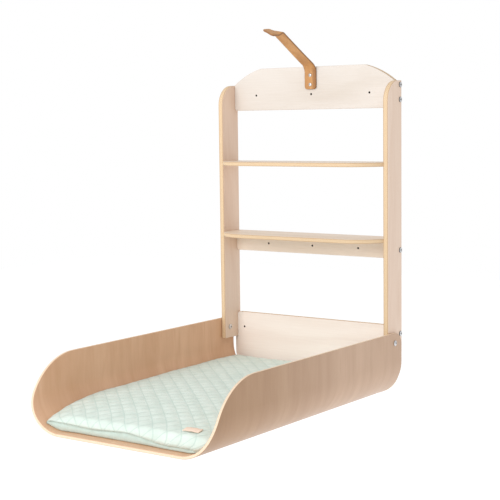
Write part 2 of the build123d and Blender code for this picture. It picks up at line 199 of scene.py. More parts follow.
# painted light: inside and outside are one veneer, the inside warmer and paler for the warm light bounced in
# the trough
TRAY_INSIDE = (0.81, 0.52, 0.34), (0.65, 0.365, 0.205)
TRAY_OUTSIDE = (0.615, 0.42, 0.29), (0.49, 0.31, 0.20)
TRAY_NOSE_SHADE = (0.45, 0.27, 0.148), (0.355, 0.195, 0.098)       # painted shade on the outside, near the nose
BOARD_EDGE = (0.88, 0.70, 0.48), (0.62, 0.41, 0.21)           # long-grain and end-grain plies
TRAY_EDGE = (0.95, 0.80, 0.63), (0.80, 0.58, 0.38)
DOWEL_BEECH = (0.62, 0.42, 0.26), (0.48, 0.30, 0.17)
GLUE = (0.38, 0.20, 0.09)
OUTER_PLY = (0.40, 0.22, 0.09)
HOLE_PAINTED_SHADE = (0.06, 0.035, 0.02)
ZINC = (0.78, 0.78, 0.79), (0.64, 0.64, 0.65)
SCREW_RIM_SHADE = (0.10, 0.09, 0.08)
WASHER_NYLON = (0.80, 0.78, 0.72), (0.70, 0.68, 0.62)
TAN = (0.64, 0.335, 0.125), (0.50, 0.24, 0.08)
TAN_CREASE = (0.36, 0.155, 0.045)
TAN_PAINTED_SHADE = (0.30, 0.125, 0.035)
TAN_CUT = (0.30, 0.13, 0.042)
MINT = (0.71, 0.795, 0.73), (0.605, 0.71, 0.64)
MINT_SLUB = (0.80, 0.90, 0.85)
MINT_GUSSET_SHADE = (0.52, 0.67, 0.63)
MINT_VALLEY_SHADE = (0.42, 0.57, 0.50)
MINT_THREAD = (0.66, 0.80, 0.73)
TAPE = (0.90, 0.74, 0.62), (0.80, 0.60, 0.47)

# Noise, in cycles per metre along, across and through the veneer.
DRIFT = (1.3, 5.0, 5.0)
FIBRE = (11.0, 520.0, 520.0)
PORES = (130.0, 2100.0, 2100.0)
FLAME_ALONG, FLAME_ACROSS = 0.9, 16.0
FLAME_WANDER = 5.0            # how far the flame follows the drift
SPECKLE = (900.0, 900.0, 1.3)
EDGE_STREAK = (30.0, 30.0, 3.1)
MOTTLE = (4.0, 20.0, 1.0)
DARK_STREAK = (3.0, 160.0, 2.0)
HANDLED = (9.0, 9.0, 9.0)
# Noise on the other materials, in cycles per metre.
SCRATCH = (3000.0, 500.0, 900.0)
BLOOM = (240.0, 240.0, 240.0)
NYLON_CLOUD = (300.0, 300.0, 300.0)
BEECH_GRAIN = (20.0, 700.0, 700.0)
PEBBLE = (900.0, 900.0)
CREASE = (60.0, 200.0)
BLOTCH = (14.0, 30.0)
SLUB = (60.0, 900.0)
SOFT = (22.0, 22.0)
FOLD = (85.0, 6.0)
FUZZ = (700.0, 700.0, 700.0)
FLOOR_CLOUD = (3.0, 3.0, 3.0)

EDGE_TURN = (0.35, 0.8)       # how squarely a surface faces out, where the cut edge gives way to the face
OUTER_PLY_REACH = (0.04, 0.24)
OUTER_PLY_SHARE = 0.65
# painted shade in the bores of the wall holes: full out to the first radius, gone by the second
HOLE_SHADE_R, HOLE_SHADE_END_R = 3.0 * MM, 4.5 * MM
# Wall holes: how far apart and how high. The lower panel has none in the middle.
DRILLED = {"top_panel": (0.200, 0.0), "wall_rail": (0.160, -0.453), "lower_panel": (0.256, -0.720)}


def veneer(g, along, across, depth, seed):
    """Rotary-cut birch: broad pale figure, fine fibres and short pores. Gives a tone and a height."""
    drift = g.noise(g.scaled(along, across, depth, *DRIFT, seed), 2.0)
    bent = g.add(g.mul(across, FLAME_ACROSS), g.mul(drift, FLAME_WANDER))
    flame = g.noise(g.join(g.mul(along, FLAME_ALONG), bent, seed), 3.0, 0.55, 0.4)
    fibre = g.noise(g.scaled(along, across, depth, *FIBRE, seed), 4.0, 0.6)
    pores = g.span(g.noise(g.scaled(along, across, depth, *PORES, seed), 2.0), 0.60, 0.74)
    tone = g.add(g.mul(drift, 0.45), g.add(g.mul(flame, 0.55), g.mul(g.sub(fibre, 0.5), 0.30)))
    tone = g.add(g.span(tone, 0.30, 0.75), g.mul(pores, 0.20))
    return tone, g.sub(fibre, g.mul(pores, 0.8))


def layered(g, depth_share, plies, along, across, woods):
    """Cut edge of plywood: long-grain and end-grain plies in turn, with dark glue lines between them."""
    layer = g.mul(depth_share, plies)
    odd = g.math("MODULO", g.math("FLOOR", layer), 2.0)
    part = g.math("FRACT", layer)
    glue = g.rest(g.span(g.least(part, g.rest(part)), 0.02, 0.16))
    speckle = g.noise(g.scaled(along, across, layer, *SPECKLE), 2.0)
    streak = g.noise(g.scaled(along, across, layer, *EDGE_STREAK), 3.0)
    tone = g.add(g.mul(odd, g.add(0.30, g.mul(speckle, 0.45))), g.mul(streak, 0.30))
    wood = g.mix(g.least(tone, 1.0), *woods)
    return g.mix(g.mul(glue, 0.75), wood, GLUE), g.sub(g.mul(speckle, 0.3), glue)


def lacquered(g, face, height, edge, edge_height, on_edge):
    """Clear coat over face and cut edge, with a darker line where they meet."""
    arris = g.mul(g.mul(on_edge, g.rest(on_edge)), 1.8)
    colour = g.mix(arris, g.mix(on_edge, face, edge), GLUE)
    handled = g.noise(g.scaled(*g.place, *HANDLED), 3.0)
    roughness = g.add(g.mul(handled, 0.16), g.add(0.34, g.mul(on_edge, 0.14)))
    both = g.add(g.mul(height, g.rest(on_edge)), g.mul(edge_height, on_edge))
    return g.finish(colour, roughness, both, 0.06, Coat_Weight=0.12, Coat_Roughness=0.22, IOR=1.5)


def plywood(name, thick_axis, grain_axis, start_mm, thick_mm, plies, seed, woods):
    """Flat board: grain along one axis, plies stacked along another."""
    g = Graph("birch_" + name)
    cross_axis = 3 - thick_axis - grain_axis
    along, across, depth = g.place[grain_axis], g.place[cross_axis], g.place[thick_axis]
    tone, height = veneer(g, along, across, depth, seed)
    share = g.div(g.sub(depth, start_mm * MM), thick_mm * MM)
    edge, edge_height = layered(g, share, plies, along, across, BOARD_EDGE)
    to_face = g.least(share, g.rest(share))
    outer = g.sub(OUTER_PLY_SHARE, g.span(to_face, *OUTER_PLY_REACH, 0.0, OUTER_PLY_SHARE))
    edge = g.mix(outer, edge, OUTER_PLY)
    on_edge = g.rest(g.span(g.size(g.facing[thick_axis]), *EDGE_TURN))
    face = g.mix(g.least(tone, 1.0), *woods)
    if name in DRILLED:
        spacing, level = DRILLED[name]
        to_hole = g.sub(g.size(g.place[0]), spacing)
        if name != "lower_panel":
            to_hole = g.sub(g.size(g.sub(g.size(g.place[0]), spacing / 2)), spacing / 2)
        away = g.length(to_hole, g.sub(g.place[2], level))
        # painted shade darkens the bore of each wall hole
        edge = g.mix(g.span(away, HOLE_SHADE_R, HOLE_SHADE_END_R), HOLE_PAINTED_SHADE, edge)
    return lacquered(g, face, height, edge, edge_height, on_edge)


BEND_X, BEND_Z = 200 * MM, -774 * MM     # centre line of each of the tray's two bends
TRAY_INNER_R, TRAY_SHELL, TRAY_PLIES = 98 * MM, 8 * MM, 7
NOSE_Y, HEEL_Y = -0.93, -0.22            # from the painted shade on the outside near the nose to the paler rear


def moulded_plywood(name, seed):
    """The tray: veneer runs round the trough, and the plies follow the bends."""
    g = Graph(name)
    x, y, z = g.place
    hand = g.math("SIGN", x)
    side = g.most(g.sub(g.size(x), BEND_X), 0.0)
    below = g.most(g.sub(BEND_Z, z), 0.0)
    above = g.most(g.sub(z, BEND_Z), 0.0)
    radius = g.length(side, below)
    arc = g.mul(g.math("ARCTAN2", side, below), TRAY_INNER_R + TRAY_SHELL / 2)
    girth = g.mul(g.add(g.add(g.least(g.size(x), BEND_X), arc), above), hand)
    share = g.div(g.sub(radius, TRAY_INNER_R), TRAY_SHELL)
    tone, height = veneer(g, girth, y, g.mul(g.math("ROUND", share), 0.05), seed)
    mottle = g.span(g.noise(g.scaled(girth, y, share, *MOTTLE), 3.0, 0.55, 0.5), 0.3, 0.7)
    streak = g.span(g.noise(g.scaled(girth, y, share, *DARK_STREAK), 2.0), 0.66, 0.76)
    tone = g.add(g.add(g.mul(tone, 0.60), g.mul(mottle, 0.35)), g.mul(streak, 0.6))
    tone = g.least(tone, 1.0)
    edge, edge_height = layered(g, share, TRAY_PLIES, girth, y, TRAY_EDGE)
    out_x = g.mul(g.div(side, radius), hand)
    out_z = g.div(below, radius)
    square = g.size(g.sub(g.mul(g.facing[0], out_x), g.mul(g.facing[2], out_z)))
    on_edge = g.rest(g.span(square, *EDGE_TURN))
    to_nose = g.rest(g.span(y, NOSE_Y, HEEL_Y))
    # painted shade on the outside, deepening towards the nose
    outside = g.mix(to_nose, g.mix(tone, *TRAY_OUTSIDE), g.mix(tone, *TRAY_NOSE_SHADE))
    # painted light: the inside's warmer tone, set apart from the outside's
    face = g.mix(g.span(share, 0.3, 0.7), g.mix(tone, *TRAY_INSIDE), outside)
    return lacquered(g, face, height, edge, edge_height, on_edge)


def steel(name, axis):
    """Zinc-plated screw heads: bright on the crown, with painted shade on the rim and in the socket."""
    g = Graph(name)
    scratch = g.noise(g.scaled(*g.place, *SCRATCH), 3.0)
    bloom = g.noise(g.scaled(*g.place, *BLOOM), 3.0)
    crown = g.span(g.size(g.facing[axis]), 0.55, 0.9)
    # painted shade: the rim and the socket's walls, which turn away from the crown, are darkened
    colour = g.mix(crown, SCREW_RIM_SHADE, g.mix(bloom, *ZINC))
    return g.finish(colour, g.add(0.20, g.mul(scratch, 0.18)), scratch, 0.015, Metallic=1.0)


def nylon(name):
    g = Graph(name)
    cloud = g.noise(g.scaled(*g.place, *NYLON_CLOUD), 3.0)
    return g.finish(g.mix(cloud, *WASHER_NYLON), 0.45, cloud, 0.02)


FLUTES = 24.0


def beech(name):
    """Fluted dowels that lie along X."""
    g = Graph(name)
    grain = g.noise(g.scaled(*g.place, *BEECH_GRAIN), 3.0)
    fluting = g.math("SINE", g.mul(g.math("ARCTAN2", g.facing[1], g.facing[2]), FLUTES))
    return g.finish(g.mix(grain, *DOWEL_BEECH), 0.6, g.add(grain, g.mul(fluting, 0.8)), 0.2)


SHADE_OVER = (1.0 * MM, 15.0 * MM)      # from the strap's middle to its right side, where painted shade darkens it
SHADE_RUN = (52.0 * MM, 78.0 * MM)      # along the strap, where that painted shade fades out


def leather(name):
    """Vegetable-tanned leather: pebbled face, darker burnished cut edges."""
    g = Graph(name)
    run, over, edge = g.attribute("strap")
    pebble = g.cells(g.flat(run, over, *PEBBLE))
    crease = g.noise(g.flat(run, over, *CREASE), 5.0, 0.65, 0.6)
    blotch = g.noise(g.flat(run, over, *BLOTCH), 3.0)
    colour = g.mix(g.span(blotch, 0.3, 0.7), *TAN)
    colour = g.mix(g.mul(g.span(crease, 0.45, 0.7), 0.35), colour, TAN_CREASE)
    # painted shade on the right side of the strap's foot
    shaded_side = g.mul(g.span(over, *SHADE_OVER), g.rest(g.span(run, *SHADE_RUN)))
    colour = g.mix(g.mul(shaded_side, 0.85), colour, TAN_PAINTED_SHADE)
    burnished = g.span(edge, 0.55, 0.95)
    colour = g.mix(burnished, colour, TAN_CUT)
    roughness = g.sub(g.add(0.46, g.mul(crease, 0.2)), g.mul(burnished, 0.14))
    height = g.add(g.mul(pebble, 0.7), g.mul(crease, 1.2))
    return g.finish(colour, roughness, height, 0.22, IOR=1.48, Sheen_Weight=0.05)


STITCH_PITCH = 34.0 * MM
STITCHES_PER_PITCH = 10.0
STITCH_HALF = (0.012, 0.030)             # half widths, as shares of the pitch
VALLEY_HALF = (0.0, 0.075)
THREAD_PITCH = 0.9 * MM


def quilted(name):
    """Cotton with a plain weave; stitch rows on the quilted part, by the flat position stored in the mesh."""
    g = Graph(name)
    across, along, quilt = g.attribute("cloth")
    thread = 2 * math.pi / THREAD_PITCH
    weave = g.mul(g.math("SINE", g.mul(across, thread)), g.math("SINE", g.mul(along, thread)))
    slub = g.noise(g.flat(across, along, *SLUB), 3.0)
    soft = g.noise(g.flat(across, along, *SOFT), 4.0)
    diagonal = 1 / (math.sqrt(2) * STITCH_PITCH)
    off, stitched = [], []
    for sign in (1.0, -1.0):
        u = g.mul(g.add(across, g.mul(along, sign)), diagonal)
        v = g.mul(g.sub(across, g.mul(along, sign)), diagonal)
        off.append(g.size(g.sub(g.math("FRACT", g.add(u, 0.5)), 0.5)))
        dash = g.span(g.math("PINGPONG", g.mul(v, STITCHES_PER_PITCH), 0.5), 0.10, 0.18)
        stitched.append(g.mul(dash, g.rest(g.span(off[-1], *STITCH_HALF))))
    stitch = g.mul(g.most(*stitched), quilt)
    valley_shade = g.mul(g.rest(g.span(g.least(*off), *VALLEY_HALF)), quilt)
    side = g.rest(quilt)
    fold = g.noise(g.flat(across, along, *FOLD), 3.0, 0.6)
    colour = g.mix(g.span(soft, 0.25, 0.75), *MINT)
    colour = g.mix(g.mul(slub, 0.18), colour, MINT_SLUB)
    # painted shade: the gusset under the quilted lip is darkened, by an amount that varies with its folds
    colour = g.mix(g.mul(side, g.add(0.25, g.mul(fold, 0.55))), colour, MINT_GUSSET_SHADE)
    # painted shade darkens the valleys along the stitch rows
    colour = g.mix(g.mul(valley_shade, 0.50), colour, MINT_VALLEY_SHADE)
    colour = g.mix(g.mul(stitch, 0.35), colour, MINT_THREAD)
    height = g.add(g.mul(weave, 0.5), g.add(g.mul(slub, 0.8), g.mul(stitch, 1.5)))
    height = g.add(height, g.mul(g.mul(fold, side), 12.0))
    return g.finish(colour, 0.88, height, 0.12, Sheen_Weight=0.25, Sheen_Roughness=0.5, IOR=1.4)


RIB_PITCH = 1.1 * MM


def tape(name):
    g = Graph(name)
    ribs = g.math("SINE", g.mul(g.place[0], 2 * math.pi / RIB_PITCH))
    fuzz = g.noise(g.scaled(*g.place, *FUZZ), 3.0)
    return g.finish(g.mix(fuzz, *TAPE), 0.85, g.add(g.mul(ribs, 0.6), fuzz), 0.08)


# Axis of the thickness and of the grain, start and thickness in mm, plies, seed, woods.
BOARDS = {
    "left_post": (0, 2, -297.0, 15.0, 11, 1.3, POST_BIRCH),
    "right_post": (0, 2, 282.0, 15.0, 11, 8.1, POST_BIRCH),
    "top_panel": (1, 0, -15.0, 15.0, 11, 4.9, PANEL_BIRCH),
    "wall_rail": (1, 0, -15.0, 15.0, 11, 6.6, RAIL_BIRCH),
    "lower_panel": (1, 0, -15.0, 15.0, 11, 2.2, LOWER_BIRCH),
    "upper_shelf": (2, 0, -211.0, 12.0, 9, 5.4, SHELF_BIRCH),
    "lower_shelf": (2, 0, -428.0, 12.0, 9, 9.2, SHELF_BIRCH),
}
sideways_steel = steel("sideways_steel", 0)
forward_steel = steel("forward_steel", 1)
dowel_wood = beech("dowel_beech")
node_material = {name: plywood(name, *spec) for name, spec in BOARDS.items()}
node_material["tray_shell"] = moulded_plywood("birch_moulded", 3.7)
for name in nodes:
    if name.startswith("pivot_washer"):
        node_material[name] = nylon("nylon_" + name)
    elif name.endswith("shelf_dowels"):
        node_material[name] = dowel_wood
    elif name not in node_material:
        node_material[name] = forward_steel if name == "strap_screws" else sideways_steel
for name, material in node_material.items():
    for material_slot in nodes[name].material_slots:
        material_slot.material = material


def piece(name, points, faces, material, smooth=True):
    mesh = bpy.data.meshes.new(name)
    mesh.from_pydata([tuple(p) for p in points], [], [tuple(f) for f in faces])
    mesh.materials.append(material)
    mesh.shade_smooth() if smooth else mesh.shade_flat()
    made = bpy.data.objects.new(name, mesh)
    bpy.context.scene.collection.objects.link(made)
    return made


def store(made, name, values):
    """Keep a vector for each vertex, for the material to read."""
    attribute = made.data.attributes.new(name, "FLOAT_VECTOR", "POINT")
    attribute.data.foreach_set("vector", np.asarray(values, np.float32).ravel())


# ---------------------------------------------------------------- mattress
cover_low, cover_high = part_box("mattress_cover")
PAD_HALF_X = 288.0 * MM
PAD_HALF_Y = (cover_high.y - cover_low.y) / 2
PAD_MIDDLE_Y = (cover_high.y + cover_low.y) / 2
BEND_R = 97.5 * MM                       # the trough as the mattress meets it
ROWS = 14                                # grid steps from stitch row to stitch row
STEP = STITCH_PITCH * math.sqrt(2) / ROWS
NX, NY = 170, 264
SIDE_ROLL = (30.0 * MM, 26.0 * MM, 8.0 * MM)   # fabric length, reach and drop of each side
END_ROLL = (25.0 * MM, 13.0 * MM, 19.0 * MM)   # the same at the front and the rear
CORNER = 12.0 * MM
CROWN_Z = -806.0 * MM
CROWN = 3.0 * MM
FRONT_REACH = 120 * MM                   # how far back the front's slackness goes
FRONT_SAG = 21.0 * MM
SAG_LENGTH = 95.0 * MM
LEFT_FROM, RIGHT_FROM = 0.62, 0.80       # shares of the half width where the front corners begin
RIGHT_SHARE = 0.25                       # how slack the right corner is, compared with the left
CORNER_SAG = 15.0 * MM                   # more sag, and further back, at the left front corner
CORNER_SAG_LENGTH = 10.0 * MM
CORNER_FLAT = 0.9                        # share of the front's roll that the left corner loses
LIP_REACH = 5.0 * MM                     # how far the quilted top stands over the gusset
CORNER_REACH = 10.0 * MM
LIP_LENGTH = 60 * MM
LIP_SLIP = 14.0 * MM                     # the quilted top hangs lower at the right
LUMPS = (6.0, 1.5, 1.4), (17.0, 4.5, 0.5)      # per metre, seed, height in mm
SEAM_LUMPS = (8.0, 9.5, 1.5)
SEAM_WAVE = (0.13, 0.27, 3.0)            # start and length in metres, height in mm
WALL_GAP = 1.2 * MM
FLOOR_GAP = 1.6 * MM
FLOOR_BLEND = 3 * MM
PUFF = 1.3 * MM                          # height of a puff before the cloth swells
PUFF_CAP = 5.0 * MM                      # the most that the cloth may move
CLOTH_FRAMES = 21
PRESSURE = 4
SHRINK = -0.012
UNDER_GAP = 0.4 * MM                     # between the underside and the tray
LEAST_THICK = 1.0 * MM
FOOT_IN = 14.0 * MM                      # how far the underside stays inside the lip
GUSSET_FULL = 18 * MM                    # height from which the gusset is as full as it gets
PUCKER, FINE_PUCKER = (55.0, 2.5), (130.0, 7.5)       # per metre, seed
FINE_PUCKER_SHARE = 0.5
# Down the gusset: share of its height, and how far it stands out from the seam in mm, here always inside it.
GUSSET = ((0.02, -1.5), (0.05, -4.5), (0.10, -7.0), (0.2, -7.0), (0.35, -6.4), (0.5, -6.0), (0.65, -6.2),
          (0.8, -7.0), (0.92, -8.2), (1.0, -10.0))


def rolled(flat_position, half, roll):
    """Where a strip of fabric goes near an edge: its position and how far it has dropped."""
    length, reach, drop = roll
    size = np.abs(flat_position)
    start = half - reach
    flat_end = size.max() - length
    turn = np.clip((size - flat_end) / length, 0, 1) * math.pi / 2
    inside = np.minimum(size, flat_end) * start / flat_end
    return np.sign(flat_position) * (inside + reach * np.sin(turn)), drop * (1 - np.cos(turn))


def cornered(x, y):
    """Round the mattress's outline where it is square."""
    p = np.clip(np.abs(x) - (PAD_HALF_X - CORNER), 0, None)
    q = np.clip(np.abs(y) - (PAD_HALF_Y - CORNER), 0, None)
    return (np.sign(x) * (np.abs(x) - p + p * np.sqrt(1 - q**2 / (2 * CORNER**2))),
            np.sign(y) * (np.abs(y) - q + q * np.sqrt(1 - p**2 / (2 * CORNER**2))))


def trough_z(x):
    side = np.clip(np.abs(x) - BEND_X, 0, BEND_R * 0.999)
    return BEND_Z - np.sqrt(BEND_R**2 - side**2)


NOISE_GAIN = 1.8


def wander(x, y, per_metre, seed):
    """Smooth noise for arrays of positions, about -1 to 1."""
    flat = zip(np.ravel(x), np.ravel(y))
    values = [noise.noise((a * per_metre, b * per_metre, seed)) for a, b in flat]
    return np.array(values).reshape(np.shape(x)) * NOISE_GAIN


def eased(value, start, end):
    share = np.clip((value - start) / (end - start), 0, 1)
    return share * share * (3 - 2 * share)


def fit_in_trough(x, z):
    """Narrow each row of the sheet to the trough, and keep it above the trough's floor."""
    for edge, half in ((0, x < 0), (NX, x > 0)):
        down = np.clip(BEND_Z - z[:, edge], 0, BEND_R * 0.95)
        fits = BEND_X + np.sqrt(BEND_R**2 - down**2) - WALL_GAP
        x = np.where(half, x * np.minimum(1, fits / PAD_HALF_X)[:, None], x)
    low = trough_z(x) + FLOOR_GAP
    gap = z - low
    return x, low + 0.5 * (gap + np.sqrt(gap**2 + FLOOR_BLEND**2))


def mattress_sheet():
    """Top sheet of the mattress before it puffs up: flat position and place of each grid point."""
    sx, sy = np.meshgrid((np.arange(NX + 1) - NX / 2) * STEP, (np.arange(NY + 1) - NY / 2) * STEP)
    x, drop_x = rolled(sx, PAD_HALF_X, SIDE_ROLL)
    y, drop_y = rolled(sy, PAD_HALF_Y, END_ROLL)
    x, y = cornered(x, y)
    out_x, out_y = x / PAD_HALF_X, y / PAD_HALF_Y
    fall = 1 - (1 - out_x**2) * (1 - out_y**2)
    lumps = sum(wander(sx, sy, per_metre, seed) * height * MM for per_metre, seed, height in LUMPS)
    to_front = PAD_HALF_Y + y
    front = eased(to_front, FRONT_REACH, 0.0)
    left = eased(-out_x, LEFT_FROM, 1.0) + RIGHT_SHARE * eased(out_x, RIGHT_FROM, 1.0)
    sag = (FRONT_SAG + CORNER_SAG * left) * np.exp(-to_front / (SAG_LENGTH + CORNER_SAG_LENGTH * left))
    seam = (drop_y / END_ROLL[2]) ** 2
    slip = LIP_SLIP * eased(out_x, 0.1, 0.9) * seam * front
    per_metre, seed, lump = SEAM_LUMPS
    wave_start, wave_length, wave_height = SEAM_WAVE
    ripple = wave_height * np.cos(2 * math.pi * (sx + wave_start) / wave_length)
    wave = (wander(sx, sy, per_metre, seed) * lump - ripple) * MM * seam
    end_drop = drop_y * (1 - CORNER_FLAT * front * left)
    z = CROWN_Z - CROWN * fall - drop_x - end_drop - sag - slip + lumps + wave
    x, z = fit_in_trough(x, z)
    y = y - (LIP_REACH + CORNER_REACH * left) * eased(to_front, LIP_LENGTH, 0.0)
    return sx, sy, np.stack([x, y + PAD_MIDDLE_Y, z], -1)


def grid_faces(columns, rows, start=0, flip=False):
    j, i = np.meshgrid(np.arange(rows), np.arange(columns), indexing="ij")
    a = (start + j * (columns + 1) + i).ravel()
    quad = np.stack([a, a + 1, a + columns + 2, a + columns + 1], -1)
    return quad[:, ::-1] if flip else quad


def puffed(sheet):
    """Cloth under light pressure, held along its stitch rows and its seam."""
    j, i = np.meshgrid(np.arange(NY + 1), np.arange(NX + 1), indexing="ij")
    u, v = i + j - (NX + NY) // 2, i - j - (NX - NY) // 2
    sewn = (u % ROWS == 0) | (v % ROWS == 0)
    seam = (i == 0) | (i == NX) | (j == 0) | (j == NY)
    puff = np.sqrt(np.abs(np.sin(math.pi * u / ROWS) * np.sin(math.pi * v / ROWS)))
    sheet = sheet + (PUFF * puff * ~seam)[..., None] * (0, 0, 1)
    cloth = piece("cloth_sheet", sheet.reshape(-1, 3), grid_faces(NX, NY), None)
    held = cloth.vertex_groups.new(name="held")
    held.add([int(k) for k in np.flatnonzero((sewn | seam).ravel())], 1.0, "REPLACE")
    modifier = cloth.modifiers.new("puff", "CLOTH")
    settings = modifier.settings
    settings.quality = 4
    settings.mass = 0.15
    settings.tension_stiffness = 12
    settings.compression_stiffness = 12
    settings.shear_stiffness = 6
    settings.bending_stiffness = 0.3
    settings.use_pressure = True
    settings.uniform_pressure_force = PRESSURE
    settings.shrink_min = SHRINK
    settings.shrink_max = SHRINK
    settings.vertex_group_mass = "held"
    settings.effector_weights.gravity = 0
    modifier.collision_settings.use_collision = False
    modifier.point_cache.frame_end = CLOTH_FRAMES + 3
    for number in range(1, CLOTH_FRAMES + 1):
        bpy.context.scene.frame_set(number)
    evaluated = cloth.evaluated_get(bpy.context.evaluated_depsgraph_get())
    result = np.zeros(len(cloth.data.vertices) * 3, np.float32)
    evaluated.data.vertices.foreach_get("co", result)
    bpy.data.objects.remove(cloth)
    bpy.context.scene.frame_set(1)
    moved = result.reshape(sheet.shape).astype(float) - sheet
    size = np.linalg.norm(moved, axis=-1, keepdims=True)
    return sheet + moved * np.minimum(1, PUFF_CAP / np.maximum(size, 1e-9))


def mattress():
    """Closed cushion: puffed top, gusset all round, and an underside that follows the trough."""
    sx, sy, sheet = mattress_sheet()
    top = puffed(sheet)
    top[..., 2] = np.maximum(top[..., 2], trough_z(top[..., 0]) + UNDER_GAP + LEAST_THICK)
    index = np.arange((NX + 1) * (NY + 1)).reshape(NY + 1, NX + 1)
    ring = np.concatenate([index[0, :-1], index[:-1, -1], index[-1, :0:-1], index[:0:-1, 0]])
    edge = top.reshape(-1, 3)[ring]
    outward = np.roll(edge, -1, 0) - np.roll(edge, 1, 0)
    outward = np.stack([outward[:, 1], -outward[:, 0], np.zeros(len(ring))], -1)
    outward /= np.maximum(np.linalg.norm(outward, axis=1, keepdims=True), 1e-9)
    depth = edge[:, 2] - (trough_z(edge[:, 0]) + UNDER_GAP)
    tall = np.clip(depth / GUSSET_FULL, 0, 1)
    pucker = wander(edge[:, 0] + edge[:, 1], edge[:, 1], *PUCKER)
    pucker = pucker + wander(edge[:, 0], edge[:, 1], *FINE_PUCKER) * FINE_PUCKER_SHARE
    points = [top.reshape(-1, 3)]
    flat = [np.stack([sx.ravel(), sy.ravel(), np.ones(sx.size)], -1)]
    travel = np.cumsum(np.linalg.norm(np.diff(edge, axis=0, prepend=edge[:1]), axis=1))
    for level, out in GUSSET:
        folds = out * tall + pucker * tall * math.sin(math.pi * level)
        row = edge + outward * (folds * MM)[:, None]
        row[:, 2] = edge[:, 2] - depth * level
        points.append(row)
        flat.append(np.stack([travel, row[:, 2], np.zeros(len(ring))], -1))
    bottom = top.copy()
    bottom[..., 0] *= 1 - FOOT_IN / PAD_HALF_X
    bottom[..., 1] = PAD_MIDDLE_Y + (bottom[..., 1] - PAD_MIDDLE_Y) * (1 - FOOT_IN / PAD_HALF_Y)
    bottom[..., 2] = trough_z(bottom[..., 0]) + UNDER_GAP
    points.append(bottom[1:-1, 1:-1].reshape(-1, 3))
    flat.append(np.stack([sx[1:-1, 1:-1].ravel(), sy[1:-1, 1:-1].ravel(), np.zeros((NX - 1) * (NY - 1))], -1))
    faces = [grid_faces(NX, NY)]
    above = ring
    base = sx.size
    for _ in GUSSET:
        below = base + np.arange(len(ring))
        faces.append(np.stack([above, below, np.roll(below, -1), np.roll(above, -1)], -1))
        above, base = below, base + len(ring)
    faces.append(grid_faces(NX - 2, NY - 2, base, flip=True))
    # the underside's outermost faces join its grid to the gusset's last row
    whole = -np.ones((NY + 1, NX + 1), int)
    whole[1:-1, 1:-1] = base + np.arange((NX - 1) * (NY - 1)).reshape(NY - 1, NX - 1)
    whole.reshape(-1)[ring] = above
    rim = whole.reshape(-1)[grid_faces(NX, NY, flip=True)]
    faces.append(rim[np.isin(rim, above).any(axis=1)])
    made = piece("mattress", np.concatenate(points), np.concatenate(faces), quilted("quilted_cotton"))
    store(made, "cloth", np.concatenate(flat))
    return made, top


LABEL_TILT = 0.06                        # rise of the label's rear edge, as a share of its width
LABEL_THICK = 1.2 * MM
LABEL_LIFT = 3.0 * MM
LABEL_BOW, LABEL_BOW_TURN = 0.6 * MM, 5.0             # height, and radians along the label
LABEL_RIPPLE, LABEL_RIPPLE_TURN = 0.3 * MM, 17.0
LABEL_COLUMNS = 24
LABEL_REST = 6                           # grid steps each way over which the label's place is averaged
# Round the folded tape: share of its width, and height as a share of its thickness.
LABEL_SECTION = ((-0.5, 0.1), (-0.48, 1.0), (-0.2, 1.25), (0.1, 1.15), (0.47, 1.0), (0.5, 0.5), (0.46, 0.0),
                 (0.1, 0.0), (-0.2, 0.0), (-0.46, 0.0))


def sheet_point(top, i, j):
    """Point, direction along X and upward normal of the mattress top, smoothed over the puffs."""
    patch = top[j - LABEL_REST:j + LABEL_REST + 1, i - LABEL_REST:i + LABEL_REST + 1]
    centre = patch.reshape(-1, 3).mean(0)
    a = patch[:, -1].mean(0) - patch[:, 0].mean(0)
    b = patch[-1].mean(0) - patch[0].mean(0)
    normal = np.cross(a, b)
    return centre, a / np.linalg.norm(a), normal / np.linalg.norm(normal)


def tube_faces(ring, rings, turned=False):
    """Faces of a tube of equal rings with its two ends closed."""
    faces = []
    for k in range(rings - 1):
        for m in range(ring):
            n = (m + 1) % ring
            quad = (k * ring + m, (k + 1) * ring + m, (k + 1) * ring + n, k * ring + n)
            faces.append((quad[0], quad[3], quad[2], quad[1]) if turned else quad)
    last = (rings - 1) * ring
    first_end, last_end = tuple(range(ring)), tuple(range(last + ring - 1, last - 1, -1))
    return faces + ([first_end[::-1], last_end[::-1]] if turned else [first_end, last_end])


def sewn_label(top):
    """A short tape, folded double, sewn flat beside the front corner."""
    low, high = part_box("mattress_label")
    away = np.hypot(top[..., 0] - (low.x + high.x) / 2, top[..., 1] - (low.y + high.y) / 2)
    j, i = np.unravel_index(np.argmin(away), top.shape[:2])
    centre, along, normal = sheet_point(top, i, j)
    across = np.cross(normal, along)
    length, width = high.x - low.x, high.y - low.y
    points = []
    for k in range(LABEL_COLUMNS + 1):
        share = k / LABEL_COLUMNS - 0.5
        bow = LABEL_BOW * math.cos(share * LABEL_BOW_TURN)
        lift = LABEL_LIFT + bow + LABEL_RIPPLE * math.sin(share * LABEL_RIPPLE_TURN)
        for over, level in LABEL_SECTION:
            up = lift + level * LABEL_THICK + (over + 0.5) * LABEL_TILT * width
            points.append(centre + along * share * length + across * over * width + normal * up)
    return piece("sewn_label", points, tube_faces(len(LABEL_SECTION), LABEL_COLUMNS + 1), tape("label_tape"))


pad, pad_top = mattress()
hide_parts("mattress_cover", "mattress_core")
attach(pad, "tray")
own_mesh(pad)
label = sewn_label(pad_top)
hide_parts("mattress_label")
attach(label, "tray")
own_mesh(label)


# ---------------------------------------------------------------- strap
STRAP_FOOT = (-17.5 * MM, 14.5 * MM, 90.0)       # y, z and heading in degrees
